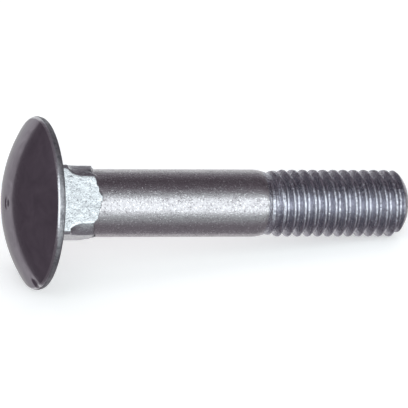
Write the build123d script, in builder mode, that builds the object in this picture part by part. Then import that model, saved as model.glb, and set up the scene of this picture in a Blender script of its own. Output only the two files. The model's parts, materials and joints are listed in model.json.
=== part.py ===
from build123d import *
from math import asin, atan2, ceil, cos, degrees, hypot, pi, radians, sin, sqrt, tan
import os

# Carriage bolt, M8 x 1.25, forged and rolled in one piece, lying at rest on its head's rim and its
# thread.  Millimetres.  Each stretch is first built upright: its own Z runs from the bearing face under
# the head (z = 0) to the point, and its own X is the side that ends up on top once the bolt lies down.

# Head: a low spherical dome on a thin upright rim
head_diameter = 19.7
dome_radius = 16.4
rim_height = 0.7
rim_rounding = 0.22

# Centre mark left by the forging punch on top of the dome
mark_diameter = 1.6
mark_depth = 0.11

# Square neck, its corners trimmed by the round die
neck_across_flats = 7.98
neck_turn = 59.6
neck_length = 5.1
trimmed_corner_diameter = 9.6
full_corner_length = 2.4
corner_flare_length = 1.5
shoulder_length = 1.25

# Plain shank and the rounded step down to the thread
shank_diameter = 7.75
plain_length = 25.2
step_length = 1.7
step_drop = 0.33
step_rounding = 4.5

# Right-hand thread.  Its crests rise to full height over the run-in, and one of them crosses the top
# side of the bolt at crest_position.
bolt_length = 43.6
thread_diameter = 7.76
thread_pitch = 1.25
thread_depth = 0.68
crest_width = 0.2
flank_angle = 30
crest_position = 29.12
run_in_drop = 0.28
run_in_length = 1.7
run_out_length = 1.3

# Rounded point
point_diameter = 5.5
point_length = 1.08
point_bulge = 0.1

# How far the ridge of the thread is sunk into its core, and stands out before its crest is trimmed
ridge_overlap = 0.2
ridge_excess = 0.04

head_radius = head_diameter / 2
shank_radius = shank_diameter / 2
thread_radius = thread_diameter / 2
root_radius = thread_radius - thread_depth
point_radius = point_diameter / 2
neck_end = neck_length + shoulder_length
step_end = plain_length + step_length
point_start = bolt_length - point_length

# Height of the dome's centre above the bearing face, measured towards the point
dome_centre = sqrt(dome_radius**2 - head_radius**2) - rim_height
head_height = dome_radius - dome_centre

# Head, solid down to the bearing face
with BuildPart() as head:
    dome_edge_angle = asin(head_radius / dome_radius)
    dome_middle = (
        dome_radius * sin(dome_edge_angle / 2),
        dome_centre - dome_radius * cos(dome_edge_angle / 2),
    )
    with BuildSketch(Plane.XZ) as head_profile:
        with BuildLine():
            Polyline((0, -head_height), (0, 0), (head_radius, 0), (head_radius, -rim_height))
            ThreePointArc((head_radius, -rim_height), dome_middle, (0, -head_height))
        make_face()
        fillet(head_profile.vertices().sort_by(Axis.X)[-2:], rim_rounding)
    revolve(axis=Axis.Z)
    mark_radius = ((mark_diameter / 2) ** 2 + mark_depth**2) / (2 * mark_depth)
    with Locations((0, 0, mark_depth - head_height - mark_radius)):
        Sphere(mark_radius, mode=Mode.SUBTRACT)

# Neck: a square column inside the round of the trimming die and the cone that runs out to the shank
with BuildPart() as neck:
    full_corner_radius = neck_across_flats / sqrt(2)
    corner_radius = trimmed_corner_diameter / 2
    flare_end = full_corner_length + corner_flare_length
    with BuildSketch(Plane.XY.rotated((0, 0, neck_turn))):
        Rectangle(neck_across_flats, neck_across_flats)
    extrude(amount=neck_end)
    with BuildSketch(Plane.XZ):
        with BuildLine():
            Polyline((0, neck_end), (0, 0), (full_corner_radius, 0), (full_corner_radius, full_corner_length))
            Spline(
                (full_corner_radius, full_corner_length),
                (corner_radius, flare_end),
                tangents=((-1, 0.6), (0, 1)),
            )
            Polyline(
                (corner_radius, flare_end),
                (corner_radius, neck_length),
                (shank_radius, neck_end),
                (0, neck_end),
            )
        make_face()
    revolve(axis=Axis.Z, mode=Mode.INTERSECT)

# Shank, its rounded step and the cone on which the thread runs out
with BuildPart() as shank:
    step_radius = max(shank_radius - step_drop, root_radius + 0.02)
    run_out_end = step_end + run_out_length
    with BuildSketch(Plane.XZ):
        with BuildLine():
            Polyline((0, run_out_end), (0, 0), (shank_radius, 0), (shank_radius, plain_length))
            RadiusArc((shank_radius, plain_length), (step_radius, step_end), -step_rounding)
            Polyline((step_radius, step_end), (root_radius, run_out_end), (0, run_out_end))
        make_face()
    revolve(axis=Axis.Z)

# Half a turn of the ridge, from the top side of the bolt round to its underside
with BuildPart() as half_turn:
    turns_back = ceil((crest_position - plain_length) / thread_pitch)
    ridge_start = crest_position - turns_back * thread_pitch
    flank_slope = tan(radians(flank_angle))
    ridge_top = thread_radius + ridge_excess
    half_top = crest_width / 2 - ridge_excess * flank_slope
    half_root = crest_width / 2 + thread_depth * flank_slope
    with BuildLine() as ridge_path:
        Helix(thread_pitch, thread_pitch / 2, root_radius, center=(0, 0, ridge_start))
    with BuildSketch(Plane.XZ):
        Polygon(
            (root_radius - ridge_overlap, ridge_start - half_root),
            (root_radius, ridge_start - half_root),
            (ridge_top, ridge_start - half_top),
            (ridge_top, ridge_start + half_top),
            (root_radius, ridge_start + half_root),
            (root_radius - ridge_overlap, ridge_start + half_root),
            align=None,
        )
    sweep(path=ridge_path.line, is_frenet=True)

# Thread: the core with its ridge, half a turn at a time, trimmed by the run-in cone and the point
with BuildPart() as thread:
    thread_start = (plain_length + step_end) / 2
    half_turns = ceil((bolt_length + thread_pitch - ridge_start) / (thread_pitch / 2))
    with BuildSketch(Plane.XY.offset(thread_start)):
        Circle(root_radius)
    extrude(amount=bolt_length + thread_pitch - thread_start)
    for half in range(half_turns):
        with Locations(Location((0, 0, half * thread_pitch / 2), (0, 0, half * 180))):
            add(half_turn.part, clean=False)
    point_middle = (
        (thread_radius + point_radius) / 2 + point_bulge,
        (point_start + bolt_length) / 2 + point_bulge,
    )
    with BuildSketch(Plane.XZ):
        with BuildLine():
            Polyline(
                (0, bolt_length),
                (0, thread_start),
                (thread_radius - run_in_drop, thread_start),
                (thread_radius - run_in_drop, step_end),
                (thread_radius, step_end + run_in_length),
                (thread_radius, point_start),
            )
            ThreePointArc((thread_radius, point_start), point_middle, (point_radius, bolt_length))
            Line((point_radius, bolt_length), (0, bolt_length))
        make_face()
    revolve(axis=Axis.Z, mode=Mode.INTERSECT)

# At rest the rim's rounding and the last full crest touch the ground, so the head end is lifted
rim_centre = head_radius - rim_rounding
rim_seat = rim_rounding * tan((pi / 2 - dome_edge_angle) / 2) - rim_height
seat_length = point_start - rim_seat
lie_angle = atan2(rim_centre - thread_radius, seat_length)
lie_angle += asin(rim_rounding / hypot(seat_length, rim_centre - thread_radius))

# The origin is on the ground under the middle of the lying bolt
origin_height = rim_rounding + rim_centre * cos(lie_angle) + rim_seat * sin(lie_angle)
head_reach = dome_radius - dome_centre * cos(lie_angle)
point_reach = bolt_length * cos(lie_angle) + point_radius * sin(lie_angle)
bearing_face = Plane(
    origin=((head_reach - point_reach) / 2, 0, origin_height),
    x_dir=(sin(lie_angle), 0, cos(lie_angle)),
    z_dir=(cos(lie_angle), 0, -sin(lie_angle)),
)

# The whole bolt, one solid
with BuildPart(bearing_face) as carriage_bolt:
    add(head.part)
    add(neck.part)
    add(shank.part)
    add(thread.part)

os.makedirs("parts", exist_ok=True)
carriage_bolt.part.label = "carriage_bolt"
export_step(carriage_bolt.part, "parts/carriage_bolt.step")

print(f"head height {head_height:.3f}, lies with its head end lifted by {degrees(lie_angle):.3f} degrees")
print(f"bearing face at {bearing_face.origin}, point towards {bearing_face.z_dir}")
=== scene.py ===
import json
import math
import bmesh
import bpy
import numpy as np
from mathutils import Matrix, Vector, noise


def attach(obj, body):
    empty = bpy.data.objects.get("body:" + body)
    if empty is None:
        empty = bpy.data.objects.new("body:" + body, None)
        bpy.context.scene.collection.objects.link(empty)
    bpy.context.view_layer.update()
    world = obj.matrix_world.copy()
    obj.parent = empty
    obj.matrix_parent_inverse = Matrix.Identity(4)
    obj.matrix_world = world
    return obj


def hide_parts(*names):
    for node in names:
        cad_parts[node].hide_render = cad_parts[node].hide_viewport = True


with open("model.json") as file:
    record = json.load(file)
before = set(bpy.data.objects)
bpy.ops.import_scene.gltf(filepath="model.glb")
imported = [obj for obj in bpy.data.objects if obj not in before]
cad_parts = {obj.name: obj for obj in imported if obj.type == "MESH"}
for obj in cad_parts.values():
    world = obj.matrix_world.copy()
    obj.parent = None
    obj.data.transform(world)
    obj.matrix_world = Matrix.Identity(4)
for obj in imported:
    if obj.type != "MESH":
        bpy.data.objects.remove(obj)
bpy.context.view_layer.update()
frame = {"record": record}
mm = 0.001

# where the bolt lies: its axis runs through the shank mount, its bearing face under the head
mounts = {mount["name"]: mount for mount in frame["record"]["mounts"]}
shankPoint = Vector(mounts["shank"]["pos_m"])
alongBolt = Vector(mounts["shank"]["axis"]).normalized()
underHead = Vector(mounts["under_head"]["pos_m"])
bearingCentre = shankPoint + alongBolt * (underHead - shankPoint).dot(alongBolt)
topSide = (Vector((0, 0, 1)) - alongBolt * alongBolt.z).normalized()
frontSide = alongBolt.cross(topSide)
print("bolt axis", tuple(round(v, 4) for v in alongBolt))


# small shaping helpers, all in millimetres

def smoothStep(low, high, value):
    t = np.clip((value - low) / (high - low), 0, 1)
    return t * t * (3 - 2 * t)


def softMin(one, other, width):
    # the smaller of two radii, with the edge between them rounded over
    share = np.clip(0.5 + 0.5 * (other - one) / width, 0, 1)
    return other * (1 - share) + one * share - width * share * (1 - share)


# the bolt is one closed skin of rings round its axis, from the dome's crown to the end face

bolt = {
    "columns": 216,
    "cornerCrowding": 0.45,
    "headDiameter": 19.7,
    "domeRadius": 16.66,
    "domeEdgeRounding": 0.6,
    "rimHeight": 0.76,
    "rimRounding": 0.22,
    "rimDraft": 0.07,
    # the punched mark is a ring, ringRadius and ringWidth being shares of its own radius
    "markDiameter": 1.6,
    "markDepth": 0.1,
    "ringRadius": 0.7,
    "ringWidth": 0.28,
    "rootRounding": 0.3,
    "acrossFlats": 7.98,
    "neckTurn": 59.6,
    "neckLength": 5.1,
    "trimmedCorner": 9.6,
    "headCorner": 5.36,
    "fullCorner": 2.2,
    "cornerFlare": 1.5,
    "flareCurve": 0.8,
    "shoulder": 1.25,
    "flatReach": 0.72,
    "stepWidth": 0.3,
    "stepWaver": 0.2,
    "edgeRounding": 0.1,
    "shankDiameter": 7.75,
    "plainLength": 25.2,
    "stepLength": 1.7,
    "stepRounding": 4.5,
    "length": 43.6,
    "threadDiameter": 7.76,
    "pitch": 1.25,
    "threadDepth": 0.68,
    "crestPosition": 29.12,
    "runInDrop": 0.28,
    "runInLength": 1.7,
    "runOutLength": 1.3,
    "pointDiameter": 5.5,
    "pointLength": 1.08,
    "pointBulge": 0.16,
    "endHollow": 0.12,
}

# waves round the neck that make its step waver: how many, their start and their share
stepWaves = ((13, 1.3, 0.5), (23, 4.0, 0.3), (37, 0.0, 0.2))

# half of one thread groove: distance from the crest's middle, and how deep it is there
threadProfile = (
    (0.0, 0.0), (0.06, 0.0), (0.1, 0.015), (0.14, 0.06), (0.2, 0.16), (0.28, 0.3),
    (0.37, 0.46), (0.44, 0.58), (0.5, 0.65), (0.56, 0.675), (0.625, 0.68),
)


def columnAngles(sizes):
    # columns are crowded together at the neck's corners
    even = np.arange(sizes["columns"]) * 2 * math.pi / sizes["columns"]
    corner = math.radians(sizes["neckTurn"] + 45)
    return even - sizes["cornerCrowding"] / 4 * np.sin(4 * (even - corner))


def neckRadius(sizes, angle, height):
    fromFlat = (angle - math.radians(sizes["neckTurn"]) + math.pi / 4) % (math.pi / 2) - math.pi / 4
    square = sizes["acrossFlats"] / 2 / np.cos(fromFlat)
    # the corners are full near the head and sweep down to the trimmed size
    trimmed = sizes["trimmedCorner"] / 2
    down = np.clip((height - sizes["fullCorner"]) / sizes["cornerFlare"], 0, 1)
    sweep = (1 - np.sqrt(1 - (1 - down) ** 2)) ** sizes["flareCurve"]
    corner = trimmed + (sizes["headCorner"] - trimmed) * sweep
    # the neck ends in a steep step that runs furthest along the middle of each flat, and wavers
    waver = sum(share * np.sin(count * angle + start) for count, start, share in stepWaves)
    reach = sizes["flatReach"] * (1 + np.cos(4 * fromFlat)) / 2
    stepStart = sizes["neckLength"] + reach + sizes["stepWaver"] * waver
    slope = (trimmed - sizes["shankDiameter"] / 2) / sizes["stepWidth"]
    step = trimmed - (height - stepStart) * slope
    corner = softMin(corner, step, sizes["edgeRounding"])
    return softMin(square, corner, sizes["edgeRounding"])


def shankRadius(sizes, height):
    # plain shank, rounded step and the cone where the thread runs out
    past = np.clip(height - sizes["plainLength"], 0, sizes["stepLength"])
    dropped = sizes["stepRounding"] - np.sqrt(sizes["stepRounding"] ** 2 - past**2)
    stepped = sizes["shankDiameter"] / 2 - dropped
    stepEnd = sizes["plainLength"] + sizes["stepLength"]
    root = sizes["threadDiameter"] / 2 - sizes["threadDepth"]
    runOut = np.clip((height - stepEnd) / sizes["runOutLength"], 0, 1)
    return stepped + (root - stepped) * runOut


def runInRadius(sizes, height):
    # how high the crests stand where the thread begins
    stepEnd = sizes["plainLength"] + sizes["stepLength"]
    rise = np.clip((height - stepEnd) / sizes["runInLength"], 0, 1)
    return sizes["threadDiameter"] / 2 - sizes["runInDrop"] * (1 - rise)


def pointRadius(sizes, height):
    # a rounded chamfer from the full thread down to the end face
    full = sizes["threadDiameter"] / 2
    down = np.clip((height - sizes["length"] + sizes["pointLength"]) / sizes["pointLength"], 0, 1)
    straight = full + (sizes["pointDiameter"] / 2 - full) * down
    return straight + 4 * sizes["pointBulge"] * down * (1 - down)


def threadRadius(sizes, angle, height):
    pitch = sizes["pitch"]
    climb = pitch * angle / (2 * math.pi)
    fromCrest = (height - sizes["crestPosition"] - climb + pitch / 2) % pitch - pitch / 2
    distances, depths = zip(*threadProfile)
    ridge = sizes["threadDiameter"] / 2 - np.interp(np.abs(fromCrest), distances, depths)
    ridge = np.minimum(ridge, runInRadius(sizes, height))
    return np.minimum(pointRadius(sizes, height), np.maximum(shankRadius(sizes, height), ridge))


# a ring is a pair of arrays, height along the axis and radius, with one value for each column

def headRings(sizes, angle):
    ones = np.ones(len(angle))
    rings = []
    headRadius = sizes["headDiameter"] / 2
    dome, edge = sizes["domeRadius"], sizes["domeEdgeRounding"]
    domeCentre = math.sqrt(dome**2 - headRadius**2) - sizes["rimHeight"]
    meet = math.asin((headRadius - edge) / (dome - edge))
    edgeHeight = domeCentre - (dome - edge) * math.cos(meet)

    # dome, closer rings over its punched mark, then the rounding into the rim
    markRadius = sizes["markDiameter"] / 2
    for tilt in np.concatenate([np.linspace(0.012, 0.07, 8), np.linspace(0.085, meet, 30)]):
        radius = dome * math.sin(tilt)
        fromRing = (radius - sizes["ringRadius"] * markRadius) / (sizes["ringWidth"] * markRadius)
        punched = sizes["markDepth"] * math.exp(-(fromRing**2))
        rings.append((ones * (domeCentre - dome * math.cos(tilt) + punched), ones * radius))
    for tilt in np.linspace(meet, math.pi / 2, 8)[1:]:
        radius = headRadius - edge + edge * math.sin(tilt)
        rings.append((ones * (edgeHeight - edge * math.cos(tilt)), ones * radius))

    # rim, its underside edge, the flat bearing face in to the neck and the rounding at its root
    under = sizes["rimRounding"]
    drawnIn = headRadius - sizes["rimDraft"]
    for tilt in np.linspace(math.pi / 2, math.pi, 6):
        radius = drawnIn - under + under * math.sin(tilt)
        rings.append((ones * (-under - under * math.cos(tilt)), ones * radius))
    root = sizes["rootRounding"]
    outline = neckRadius(sizes, angle, 0.0)
    for inward in np.linspace(0, 1, 8)[1:]:
        rings.append((ones * 0.0, (drawnIn - under) * (1 - inward) + (outline + root) * inward))
    for turn in np.linspace(0, math.pi / 2, 5)[1:]:
        rings.append((ones * root * (1 - math.cos(turn)), outline + root * (1 - math.sin(turn))))
    return rings


def shankRings(sizes, angle, threadStart):
    # square neck, shoulder and plain shank up to where the thread starts
    ones = np.ones(len(angle))
    full = sizes["fullCorner"]
    trimmedFrom = full + sizes["cornerFlare"]
    stepFrom = sizes["neckLength"] - 0.1
    neckEnd = sizes["neckLength"] + sizes["shoulder"] + 0.1
    heights = [
        np.linspace(start, end, count)[1:] for start, end, count in (
            (sizes["rootRounding"], full, 6), (full, trimmedFrom, 12), (trimmedFrom, stepFrom, 6),
            (stepFrom, neckEnd, 32), (neckEnd, sizes["plainLength"], 26),
            (sizes["plainLength"], threadStart, 6))]
    rings = []
    for height in np.concatenate(heights):
        radius = ones * shankRadius(sizes, height)
        if height <= neckEnd:
            radius = np.maximum(neckRadius(sizes, angle, height), radius)
        rings.append((ones * height, radius))
    return rings


def threadRings(sizes, angle, threadStart):
    # the rows climb with the helix, so each row keeps one place on the thread's profile
    pitch = sizes["pitch"]
    distances = [distance for distance, depth in threadProfile]
    places = sorted([-distance for distance in distances[1:-1]] + distances)
    climb = pitch * angle / (2 * math.pi)
    firstTurn = math.floor((threadStart - sizes["crestPosition"]) / pitch) - 1
    lastTurn = math.ceil((sizes["length"] - sizes["crestPosition"]) / pitch) + 1
    rings = []
    for whole in range(firstTurn, lastTurn):
        for place in places:
            row = sizes["crestPosition"] + whole * pitch + place + climb
            row = np.clip(row, threadStart, sizes["length"])
            rings.append((row, threadRadius(sizes, angle, row)))
    return rings, len(places)


# the forged surface is never quite even, and has been knocked about

wear = {
    "fineScale": 2.4,
    "broadScale": 0.8,
    "deepest": 1.4,
    "dome": 0.004,
    "neck": 0.014,
    "shoulder": 0.04,
    "shank": 0.006,
    "thread": 0.03,
    # turn round the axis in degrees, height, width and depth of each knock
    "knocks": ((144, -1.1, 0.6, 0.4), (130, -0.35, 0.35, 0.08)),
}


def noiseField(places, scale, octaves):
    # smooth noise at many places, each octave half as strong and twice as fine
    total = np.zeros(len(places))
    for octave in range(octaves):
        finer = scale * 2**octave
        values = np.array([noise.noise(Vector(place) * finer) for place in places])
        total += values / 2**octave
    return total


def wearSkin(sizes, angle, heights, radii):
    # the uneven surface and the knocks, always cut inwards; the bearing face stays flat
    places = np.stack([heights, radii * np.cos(angle), radii * np.sin(angle)], axis=-1).reshape(-1, 3)
    fine = noiseField(places, wear["fineScale"], 2).reshape(radii.shape)
    broad = noiseField(places, wear["broadScale"], 2).reshape(radii.shape)
    shoulderFrom = sizes["neckLength"] - 0.2
    shoulderTo = sizes["neckLength"] + sizes["shoulder"] + 0.2
    threadFrom = sizes["plainLength"] + sizes["stepLength"] - 0.6
    onHead = heights < -0.01
    onBearing = (heights >= -0.01) & (heights <= 0.3)
    onNeck = (heights > 0.3) & (heights < shoulderFrom)
    onShoulder = (heights >= shoulderFrom) & (heights < shoulderTo)
    depth = np.select(
        [onHead, onBearing, onNeck, onShoulder, heights >= threadFrom],
        [wear["dome"], 0, wear["neck"], wear["shoulder"], wear["thread"]], wear["shank"])
    worn = radii - depth * np.clip(0.5 + np.where(onShoulder, broad, fine), 0, wear["deepest"])
    flatAngle = np.broadcast_to(angle, radii.shape)
    for turn, middle, size, deep in wear["knocks"]:
        around = (flatAngle - math.radians(turn) + math.pi) % (2 * math.pi) - math.pi
        near = np.hypot(around * np.maximum(radii, 0.5), heights - middle) / size
        worn -= deep * (1 - smoothStep(0.0, 1.0, near))
    return worn


def endRings(sizes, angle):
    # the end face, a little hollow in its middle
    height = np.full((1, len(angle)), sizes["length"])
    outline = wearSkin(sizes, angle, height, threadRadius(sizes, angle, height))[0]
    rings = []
    for inward in np.linspace(1, 0.04, 9):
        hollow = sizes["endHollow"] * (1 - inward**2)
        rings.append((np.full(len(angle), sizes["length"] - hollow), outline * inward))
    return rings


def skinFaces(columns, plainCount, threadCount, endCount, rowsPerPitch):
    faces = []

    def stitch(lower, upper, column, after, shift=0):
        faces.append((lower * columns + column, (lower + shift) * columns + after,
                      (upper + shift) * columns + after, upper * columns + column))

    threadEnd = plainCount + threadCount
    for column in range(columns):
        after = (column + 1) % columns
        for ring in list(range(plainCount - 1)) + list(range(threadEnd, threadEnd + endCount - 1)):
            stitch(ring, ring + 1, column, after)
        # where the columns close, a thread row meets the one a whole turn further on
        shift = rowsPerPitch if after == 0 else 0
        for row in range(plainCount, threadEnd - 1 - shift):
            stitch(row, row + 1, column, after, shift)

    # close the dome's crown and the middle of the end face
    lastRing = (threadEnd + endCount - 1) * columns
    crown = lastRing + columns
    for column in range(columns):
        after = (column + 1) % columns
        faces.append((crown, after, column))
        faces.append((crown + 1, lastRing + column, lastRing + after))
    return faces


def buildBolt(sizes):
    angle = columnAngles(sizes)
    columns = len(angle)
    threadStart = sizes["plainLength"] + sizes["stepLength"] / 2
    plain = headRings(sizes, angle) + shankRings(sizes, angle, threadStart)
    thread, rowsPerPitch = threadRings(sizes, angle, threadStart)
    end = endRings(sizes, angle)
    heights, radii = (np.array(values) for values in zip(*(plain + thread)))
    endHeights, endRadii = (np.array(values) for values in zip(*end))
    heights = np.concatenate([heights, endHeights])
    radii = np.concatenate([wearSkin(sizes, angle, heights[:len(radii)], radii), endRadii])

    axis, top, front = (np.array(side) for side in (alongBolt, topSide, frontSide))
    places = (np.array(bearingCentre) / mm + heights[..., None] * axis
              + (radii * np.cos(angle))[..., None] * top + (radii * np.sin(angle))[..., None] * front) * mm
    verts = places.reshape(-1, 3)
    verts = np.concatenate([verts, [verts[:columns].mean(axis=0), verts[-columns:].mean(axis=0)]])
    faces = skinFaces(columns, len(plain), len(thread), len(end), rowsPerPitch)

    mesh = bpy.data.meshes.new("boltSkin")
    mesh.from_pydata(verts.tolist(), [], faces)
    # rows that were clipped to the same height are merged into one
    shell = bmesh.new()
    shell.from_mesh(mesh)
    bmesh.ops.remove_doubles(shell, verts=shell.verts, dist=4e-7)
    bmesh.ops.dissolve_degenerate(shell, edges=shell.edges, dist=1e-7)
    bmesh.ops.recalc_face_normals(shell, faces=shell.faces)
    openEdges = sum(1 for edge in shell.edges if len(edge.link_faces) != 2)
    shell.to_mesh(mesh)
    shell.free()
    mesh.shade_smooth()
    mesh.set_sharp_from_angle(angle=math.radians(38))
    print("bolt skin", len(mesh.polygons), "faces,", openEdges, "open edges")
    return mesh


mesh = buildBolt(bolt)
carriageBolt = bpy.data.objects.new("zincCarriageBolt", mesh)
bpy.context.collection.objects.link(carriageBolt)


# small node helpers: a value is either a number to set or another node's output to link

def addNode(tree, kind, place=(0, 0), **settings):
    node = tree.nodes.new(kind)
    node.location = place
    for name, value in settings.items():
        setattr(node, name, value)
    return node


def feed(tree, socket, value):
    if isinstance(value, bpy.types.NodeSocket):
        tree.links.new(value, socket)
    else:
        socket.default_value = value


def mathNode(tree, operation, first, second=None, clamp=False):
    node = addNode(tree, "ShaderNodeMath", operation=operation, use_clamp=clamp)
    feed(tree, node.inputs[0], first)
    if second is not None:
        feed(tree, node.inputs[1], second)
    return node.outputs[0]


def mixColours(tree, share, first, second, place=(0, 0)):
    node = addNode(tree, "ShaderNodeMix", place, data_type="RGBA")
    for socket, value in (("Factor_Float", share), ("A_Color", first), ("B_Color", second)):
        feed(tree, next(entry for entry in node.inputs if entry.identifier == socket), value)
    return next(entry for entry in node.outputs if entry.identifier == "Result_Color")


def fade(tree, value, limits, place=(0, 0), curve="LINEAR"):
    # none below the first limit, full above the second
    node = addNode(tree, "ShaderNodeMapRange", place, interpolation_type=curve)
    node.inputs["From Min"].default_value, node.inputs["From Max"].default_value = limits
    tree.links.new(value, node.inputs["Value"])
    return node.outputs["Result"]


# the finish is bright zinc plating, dulled and mottled by handling

plating = {
    # each noise has its scale against the blotch size, detail, roughness and distortion
    "broad": (0.35, 3.0, 0.55, 0.0),
    "medium": (1.1, 2.0, 0.6, 0.6),
    "fine": (2.7, 1.0, 0.5, 0.0),
    "pitNoise": (2.6, 1.0, 0.5, 1.2),
    "fleckNoise": (2.15, 1.5, 0.6, 0.8),
    # how far up a noise its marks begin, and where they are full
    "blotchLimits": (0.38, 0.62),
    "pitLimits": (0.6, 0.68),
    "fleckLimits": (0.58, 0.7),
    # two runs of scratches, each turned and drawn out, that cross each other
    "scratchRuns": ((0.5, 14.0), (-0.9, 10.0)),
    "scratchScale": 260.0,
    "scratchThinness": 55.0,
    "rubbed": (0.9, 0.89, 0.92, 1),
}

skinInputs = (
    ("Light", (0.5, 0.5, 0.54, 1)), ("Dark", (0.3, 0.28, 0.32, 1)),
    ("Blotch Size", 900.0), ("Blotches", 0.5), ("Smoothest", 0.25), ("Roughest", 0.42),
    ("Hammering", 0.3), ("Scratches", 0.3), ("Pits", 0.5), ("Flecks", 0.2),
)


def scratchLines(group, place):
    # thin lines, where a drawn-out noise passes through its middle value
    lines = []
    for spin, drawnOut in plating["scratchRuns"]:
        mapping = addNode(group, "ShaderNodeMapping", (-900, -400))
        mapping.inputs["Rotation"].default_value = (0.3 * spin, spin, 0.6 * spin)
        mapping.inputs["Scale"].default_value = (1.0, drawnOut, drawnOut)
        group.links.new(place, mapping.inputs["Vector"])
        scratch = addNode(group, "ShaderNodeTexNoise", (-650, -400))
        scratch.inputs["Scale"].default_value = plating["scratchScale"]
        scratch.inputs["Detail"].default_value = 2.0
        group.links.new(mapping.outputs["Vector"], scratch.inputs["Vector"])
        fromMiddle = mathNode(group, "ABSOLUTE", mathNode(group, "SUBTRACT", scratch.outputs["Fac"], 0.5))
        width = mathNode(group, "MULTIPLY", fromMiddle, plating["scratchThinness"])
        lines.append(mathNode(group, "SUBTRACT", 1.0, width, clamp=True))
    return mathNode(group, "MAXIMUM", *lines)


def zincSkinGroup():
    # mottled plating: colour, roughness and height from blotches, pits, flecks and scratches
    group = bpy.data.node_groups.new("zincSkin", "ShaderNodeTree")
    for name, start in skinInputs:
        kind = "NodeSocketFloat" if isinstance(start, float) else "NodeSocketColor"
        group.interface.new_socket(name=name, in_out="INPUT", socket_type=kind).default_value = start
    for name, kind in (("Color", "Color"), ("Roughness", "Float"), ("Height", "Float")):
        group.interface.new_socket(name=name, in_out="OUTPUT", socket_type="NodeSocket" + kind)
    given = addNode(group, "NodeGroupInput", (-1200, 0)).outputs
    result = addNode(group, "NodeGroupOutput", (900, 0)).inputs
    place = addNode(group, "ShaderNodeTexCoord", (-1200, 300)).outputs["Object"]

    def add(first, second, clamp=False):
        return mathNode(group, "ADD", first, second, clamp)

    def subtract(first, second):
        return mathNode(group, "SUBTRACT", first, second)

    def times(first, second, clamp=False):
        return mathNode(group, "MULTIPLY", first, second, clamp)

    def noiseOf(layer):
        scale, detail, roughness, distortion = plating[layer]
        node = addNode(group, "ShaderNodeTexNoise", (-700, 0))
        node.inputs["Detail"].default_value = detail
        node.inputs["Roughness"].default_value = roughness
        node.inputs["Distortion"].default_value = distortion
        group.links.new(place, node.inputs["Vector"])
        group.links.new(times(given["Blotch Size"], scale), node.inputs["Scale"])
        return node.outputs["Fac"]

    broad, medium, fine = noiseOf("broad"), noiseOf("medium"), noiseOf("fine")
    blotches = fade(group, add(times(broad, 0.4), times(medium, 0.6)), plating["blotchLimits"], (-200, 200))
    amount = times(blotches, given["Blotches"], clamp=True)
    scratches = times(times(scratchLines(group, place), blotches), given["Scratches"])
    # pits are gathered in patches, darker and sunk a little
    pitMask = fade(group, noiseOf("pitNoise"), plating["pitLimits"], (-200, -600))
    gathered = add(times(broad, 1.6), -0.3, clamp=True)
    pits = times(times(pitMask, gathered), given["Pits"])
    # bright flecks show where the plating is rubbed
    fleckMask = fade(group, noiseOf("fleckNoise"), plating["fleckLimits"], (-200, -800))
    flecks = times(fleckMask, given["Flecks"])

    tone = mixColours(group, add(amount, pits, clamp=True), given["Light"], given["Dark"], (200, 200))
    colour = mixColours(group, flecks, tone, plating["rubbed"], (450, 200))
    spread = subtract(given["Roughest"], given["Smoothest"])
    uneven = times(add(times(fine, 0.5), times(amount, 0.5)), spread)
    rough = add(add(uneven, given["Smoothest"]), times(scratches, 0.15), clamp=True)
    bumps = times(add(medium, times(fine, 0.8)), given["Hammering"])
    sunk = add(scratches, times(pits, 1.5))
    group.links.new(colour, result["Color"])
    group.links.new(rough, result["Roughness"])
    group.links.new(subtract(bumps, sunk), result["Height"])
    return group


zincSkin = zincSkinGroup()

# each stretch of the bolt has its own share of the same plating, except that the dome's rounded edge is
# given lighter colours as a painted highlight and the rim band darker colours as painted shade
zincFinishes = {
    "zincDome": {"Light": (0.42, 0.385, 0.435, 1), "Dark": (0.28, 0.25, 0.295, 1), "Blotch Size": 380.0,
                 "Blotches": 0.7, "Smoothest": 0.1, "Roughest": 0.17, "Hammering": 0.15, "Scratches": 0.2,
                 "Pits": 0.1, "Flecks": 0.0, "bump": 0.3, "edge": 0.6},
    # painted highlight: the dome's rounded edge gets lighter colours than the dome, standing in for the
    # bright line the light makes there
    "zincEdgePaintedHighlight": {"Light": (0.58, 0.57, 0.6, 1), "Dark": (0.4, 0.38, 0.42, 1), "Blotch Size": 1800.0,
                 "Blotches": 0.5, "Smoothest": 0.15, "Roughest": 0.24, "Hammering": 0.6, "Scratches": 0.1,
                 "Pits": 0.6, "Flecks": 0.1, "bump": 0.4, "edge": 1.0},
    # painted shade: the rim band gets much darker colours than the rest of the plating, standing in for the
    # dimmer light it catches
    "zincRimPaintedShade": {"Light": (0.36, 0.355, 0.38, 1), "Dark": (0.14, 0.135, 0.155, 1), "Blotch Size": 2000.0,
                "Blotches": 0.7, "Smoothest": 0.38, "Roughest": 0.58, "Hammering": 1.0, "Scratches": 0.2,
                "Pits": 0.8, "Flecks": 0.2, "bump": 0.7, "edge": 0.8},
    "zincNeck": {"Light": (0.55, 0.56, 0.59, 1), "Dark": (0.25, 0.25, 0.275, 1), "Blotch Size": 2600.0,
                 "Blotches": 0.35, "Smoothest": 0.16, "Roughest": 0.28, "Hammering": 1.1, "Scratches": 0.1,
                 "Pits": 0.8, "Flecks": 0.2, "bump": 0.7, "edge": 1.0},
    "zincShank": {"Light": (0.46, 0.438, 0.462, 1), "Dark": (0.21, 0.19, 0.21, 1), "Blotch Size": 2300.0,
                  "Blotches": 0.28, "Smoothest": 0.13, "Roughest": 0.22, "Hammering": 0.8, "Scratches": 0.5,
                  "Pits": 1.0, "Flecks": 0.5, "bump": 0.45, "edge": 1.0},
    "zincThread": {"Light": (0.49, 0.485, 0.545, 1), "Dark": (0.22, 0.21, 0.25, 1), "Blotch Size": 2300.0,
                   "Blotches": 0.5, "Smoothest": 0.14, "Roughest": 0.26, "Hammering": 1.2, "Scratches": 0.3,
                   "Pits": 0.9, "Flecks": 0.25, "bump": 0.8, "edge": 1.0},
}


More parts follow.
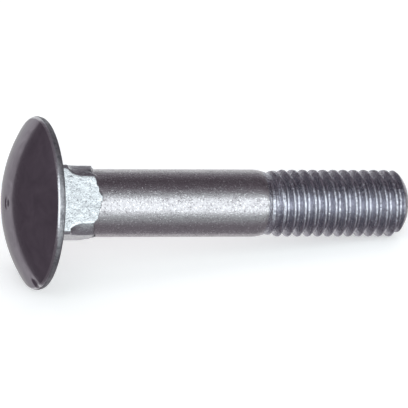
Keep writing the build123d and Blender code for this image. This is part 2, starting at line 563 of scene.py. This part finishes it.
def zincMaterial(name, finish):
    material = bpy.data.materials.new(name)
    material.use_nodes = True
    tree = material.node_tree
    shader = tree.nodes["Principled BSDF"]
    shader.inputs["Metallic"].default_value = 1.0
    shader.inputs["Specular Tint"].default_value = (finish["edge"],) * 3 + (1,)
    skin = addNode(tree, "ShaderNodeGroup", (-500, 0), node_tree=zincSkin)
    for socket, start in skinInputs:
        skin.inputs[socket].default_value = finish[socket]
    bump = addNode(tree, "ShaderNodeBump", (-250, -200))
    bump.inputs["Strength"].default_value = finish["bump"]
    bump.inputs["Distance"].default_value = 0.03 * mm
    tree.links.new(skin.outputs["Color"], shader.inputs["Base Color"])
    tree.links.new(skin.outputs["Roughness"], shader.inputs["Roughness"])
    tree.links.new(skin.outputs["Height"], bump.inputs["Height"])
    tree.links.new(bump.outputs["Normal"], shader.inputs["Normal"])
    return material


# how far along the bolt each finish reaches, in millimetres from the bearing face
stretches = {"dome": -0.95, "edge": -0.66, "rim": -0.005, "neck": 6.4, "neckReach": 6.2, "stepShare": 0.6}


def layFinishes(mesh, sizes):
    for name, finish in zincFinishes.items():
        mesh.materials.append(zincMaterial(name, finish))
    centres = np.empty(len(mesh.polygons) * 3)
    mesh.polygons.foreach_get("center", centres)
    fromBearing = (centres.reshape(-1, 3) - np.array(bearingCentre)) / mm
    along = fromBearing @ np.array(alongBolt)
    reach = np.linalg.norm(fromBearing - along[:, None] * np.array(alongBolt), axis=1)
    # the neck and the head's underside share a finish
    clearOfShank = reach > sizes["shankDiameter"] / 2 + 0.02
    onNeck = (along < stretches["neck"]) & clearOfShank & (reach < stretches["neckReach"])
    onShank = along < sizes["plainLength"] + sizes["stepLength"] * stretches["stepShare"]
    finishes = list(zincFinishes)
    slots = [finishes.index(name) for name in ("zincDome", "zincEdgePaintedHighlight", "zincRimPaintedShade", "zincNeck", "zincShank")]
    # the edge stretch carries the painted highlight and the rim stretch the painted shade
    chosen = np.select(
        [along < stretches["dome"], along < stretches["edge"], along < stretches["rim"], onNeck, onShank],
        slots, finishes.index("zincThread"))
    mesh.polygons.foreach_set("material_index", chosen.astype(np.int32))
    mesh.update()


layFinishes(mesh, bolt)
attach(carriageBolt, "root")
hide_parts("carriage_bolt")
print("bolt finished in", len(mesh.materials), "zinc materials")

# the camera turns a little towards the head and is lifted until the bolt lies level in view

view = {
    "turn": 18.9,
    "lift": 23.8,
    "distance": 572.737,
    "lens": 441.1765,
    "sensor": 36.0,
    # the point looked at: how far along the axis, and how far below it
    "along": 19.57,
    "below": 0.1,
}
lift, turn = math.radians(view["lift"]), math.radians(view["turn"])
facing = frontSide * math.cos(lift) + topSide * math.sin(lift)
cameraUp = topSide * math.cos(lift) - frontSide * math.sin(lift)
cameraRight = alongBolt * math.cos(turn) + facing * math.sin(turn)
cameraBack = facing * math.cos(turn) - alongBolt * math.sin(turn)
target = bearingCentre + (alongBolt * view["along"] - cameraUp * view["below"]) * mm
benchLens = bpy.data.cameras.new("benchCamera")
benchLens.sensor_width = view["sensor"]
benchLens.lens = view["lens"]
benchLens.clip_start = 0.01
camera = bpy.data.objects.new("benchCamera", benchLens)
bpy.context.collection.objects.link(camera)
turned = Matrix((cameraRight, cameraUp, cameraBack)).transposed().to_4x4()
camera.matrix_world = Matrix.Translation(target + cameraBack * view["distance"] * mm) @ turned
bpy.context.scene.camera = camera
bpy.context.scene.view_settings.view_transform = "Standard"
print("camera", tuple(round(v, 3) for v in camera.location))

# the floor is one pale sheet, slanted to run straight away from the camera

sheet = {
    "left": -130.0,
    "right": 150.0,
    "front": -150.0,
    "back": 200.0,
    "colour": (0.86, 0.86, 0.865, 1),
    "roughness": 0.9,
    "shine": 0.1,
    "glow": 0.42,
}


def paleSheet():
    slant = cameraBack.x / cameraBack.y
    corners = []
    for side, end in (("left", "front"), ("right", "front"), ("right", "back"), ("left", "back")):
        corners.append(((sheet[side] + slant * sheet[end]) * mm, sheet[end] * mm, 0.0))
    floorMesh = bpy.data.meshes.new("paleSheet")
    floorMesh.from_pydata(corners, [], [(0, 1, 2, 3)])
    floor = bpy.data.objects.new("paleSheet", floorMesh)
    bpy.context.collection.objects.link(floor)
    paper = bpy.data.materials.new("palePaper")
    paper.use_nodes = True
    tree = paper.node_tree
    shader = tree.nodes["Principled BSDF"]
    shader.inputs["Base Color"].default_value = sheet["colour"]
    shader.inputs["Roughness"].default_value = sheet["roughness"]
    shader.inputs["Specular IOR Level"].default_value = sheet["shine"]
    # white to the camera with a faint shadow; the studio's lower strips stand for it in the metal
    seenByCamera = addNode(tree, "ShaderNodeLightPath", (-500, -300)).outputs["Is Camera Ray"]
    glow = mathNode(tree, "MULTIPLY", seenByCamera, sheet["glow"])
    shader.inputs["Emission Color"].default_value = (1, 1, 1, 1)
    tree.links.new(glow, shader.inputs["Emission Strength"])
    floorMesh.materials.append(paper)
    floor.visible_glossy = False
    return floor


paleSheet()

# soft strips of studio light run along the bolt, and it is darker beyond its two ends

studio = {
    # turn round the bolt's axis from the camera's side, over the top, and how bright it is there
    "strips": (
        (-180, 0.34), (-158, 0.3), (-138, 0.31), (-117, 0.32), (-95, 0.28), (-82, 0.29), (-68, 0.46),
        (-60, 0.55), (-50, 0.66), (-42, 0.9), (-36, 1.15), (-28, 2.15), (11, 2.15), (18, 1.3),
        (26, 0.82), (35, 0.42), (49, 0.23), (62, 0.17), (77, 0.12), (88, 0.13), (97, 0.19),
        (107, 0.28), (118, 0.36), (134, 0.6), (156, 0.72)),
    # the same for the light that reaches the dome from the head's own side
    "headSide": (
        (-180, 0.15), (-120, 0.15), (-60, 0.2), (-42, 0.5), (-34, 2.1), (34, 2.1), (42, 0.5),
        (60, 0.24), (120, 0.18), (140, 0.15)),
    # where each region begins and is full, as the cosine of the angle from its own direction
    "headLimits": (0.05, 0.35),
    "faceOnLimits": (0.9, 0.97),
    "tipLimits": (0.6, 0.88),
    "faceOnLevel": 0.14,
    "tipShade": 0.82,
    # the white backdrop, behind the bolt within these angles, and its share in the metal
    "backdropAngles": (50, 45),
    "backdropLevel": 0.6,
    "shadeTint": (1.09, 0.87, 1.04, 1),
    "lightTint": (0.95, 1.03, 1.03, 1),
    "tintRate": 1.7,
}


def towards(tree, direction):
    node = addNode(tree, "ShaderNodeVectorMath", (-1200, 0), operation="DOT_PRODUCT")
    tree.links.new(addNode(tree, "ShaderNodeTexCoord", (-1400, 0)).outputs["Generated"], node.inputs[0])
    node.inputs[1].default_value = tuple(direction)
    return node.outputs["Value"]


def stripRamp(tree, turnRound, stops):
    # brightness by the turn round the bolt, on a ramp that covers one whole turn and meets itself
    ramp = addNode(tree, "ShaderNodeValToRGB", (-700, 0))
    brightest = max(level for turnAt, level in stops)
    stripes = ramp.color_ramp
    for index, (turnAt, level) in enumerate(stops):
        place = (turnAt + 180) / 360
        stop = stripes.elements[0] if index == 0 else stripes.elements.new(place)
        stop.position = place
        stop.color = (level / brightest,) * 3 + (1,)
    stripes.elements[-1].position = 1.0
    stripes.elements[-1].color = (stops[0][1] / brightest,) * 3 + (1,)
    tree.links.new(turnRound, ramp.inputs["Fac"])
    return mathNode(tree, "MULTIPLY", ramp.outputs["Color"], brightest)


def blend(tree, first, second, share):
    kept = mathNode(tree, "MULTIPLY", first, mathNode(tree, "SUBTRACT", 1.0, share))
    return mathNode(tree, "ADD", kept, mathNode(tree, "MULTIPLY", second, share))


def studioLevel(tree):
    aroundBolt = mathNode(tree, "ARCTAN2", towards(tree, cameraUp), towards(tree, facing))
    turnRound = mathNode(tree, "ADD", mathNode(tree, "DIVIDE", aroundBolt, 2 * math.pi), 0.5)
    towardsHead = towards(tree, -alongBolt)
    strips = stripRamp(tree, turnRound, studio["strips"])
    headSide = stripRamp(tree, turnRound, studio["headSide"])
    faceOn = fade(tree, towardsHead, studio["faceOnLimits"], curve="SMOOTHSTEP")
    headSide = blend(tree, headSide, studio["faceOnLevel"], faceOn)
    headward = fade(tree, towardsHead, studio["headLimits"], curve="SMOOTHSTEP")
    level = blend(tree, strips, headSide, headward)
    tipward = fade(tree, towards(tree, alongBolt), studio["tipLimits"], curve="SMOOTHSTEP")
    shade = mathNode(tree, "MULTIPLY", tipward, studio["tipShade"])
    return mathNode(tree, "MULTIPLY", level, mathNode(tree, "SUBTRACT", 1.0, shade))


def backdropShare(tree):
    # all of it for the camera, and some in the metal from straight behind the bolt
    limits = [math.cos(math.radians(angle)) for angle in studio["backdropAngles"]]
    behind = fade(tree, towards(tree, -cameraBack), limits, curve="SMOOTHSTEP")
    rays = addNode(tree, "ShaderNodeLightPath", (-400, 400)).outputs
    mirrored = mathNode(tree, "MAXIMUM", rays["Is Glossy Ray"], rays["Is Transmission Ray"])
    share = mathNode(tree, "MULTIPLY", behind, studio["backdropLevel"])
    inMetal = mathNode(tree, "MULTIPLY", mirrored, share)
    return mathNode(tree, "MAXIMUM", rays["Is Camera Ray"], inMetal)


def softStudio():
    world = bpy.data.worlds.new("softStudio")
    world.use_nodes = True
    tree = world.node_tree
    tree.nodes.clear()
    level = studioLevel(tree)
    tintShare = mathNode(tree, "MULTIPLY", level, studio["tintRate"], clamp=True)
    tint = mixColours(tree, tintShare, studio["shadeTint"], studio["lightTint"])
    light = addNode(tree, "ShaderNodeBackground", (200, 0))
    tree.links.new(tint, light.inputs["Color"])
    tree.links.new(level, light.inputs["Strength"])
    white = addNode(tree, "ShaderNodeBackground", (200, -200))
    white.inputs["Color"].default_value = (1, 1, 1, 1)
    mixed = addNode(tree, "ShaderNodeMixShader", (400, 0))
    tree.links.new(backdropShare(tree), mixed.inputs["Fac"])
    tree.links.new(light.outputs[0], mixed.inputs[1])
    tree.links.new(white.outputs[0], mixed.inputs[2])
    output = addNode(tree, "ShaderNodeOutputWorld", (600, 0))
    tree.links.new(mixed.outputs[0], output.inputs["Surface"])
    return world


bpy.context.scene.world = softStudio()

# one broad lamp overhead lifts the sheet and gives the bolt its soft shadow

overhead = {"strength": 0.7, "spread": 70, "tilt": (-20, 10, 0)}
lampData = bpy.data.lights.new("overheadSheet", "SUN")
lampData.energy = overhead["strength"]
lampData.angle = math.radians(overhead["spread"])
lamp = bpy.data.objects.new("overheadSheet", lampData)
lamp.rotation_euler = [math.radians(angle) for angle in overhead["tilt"]]
lamp.visible_glossy = False
bpy.context.collection.objects.link(lamp)
print("studio lit")
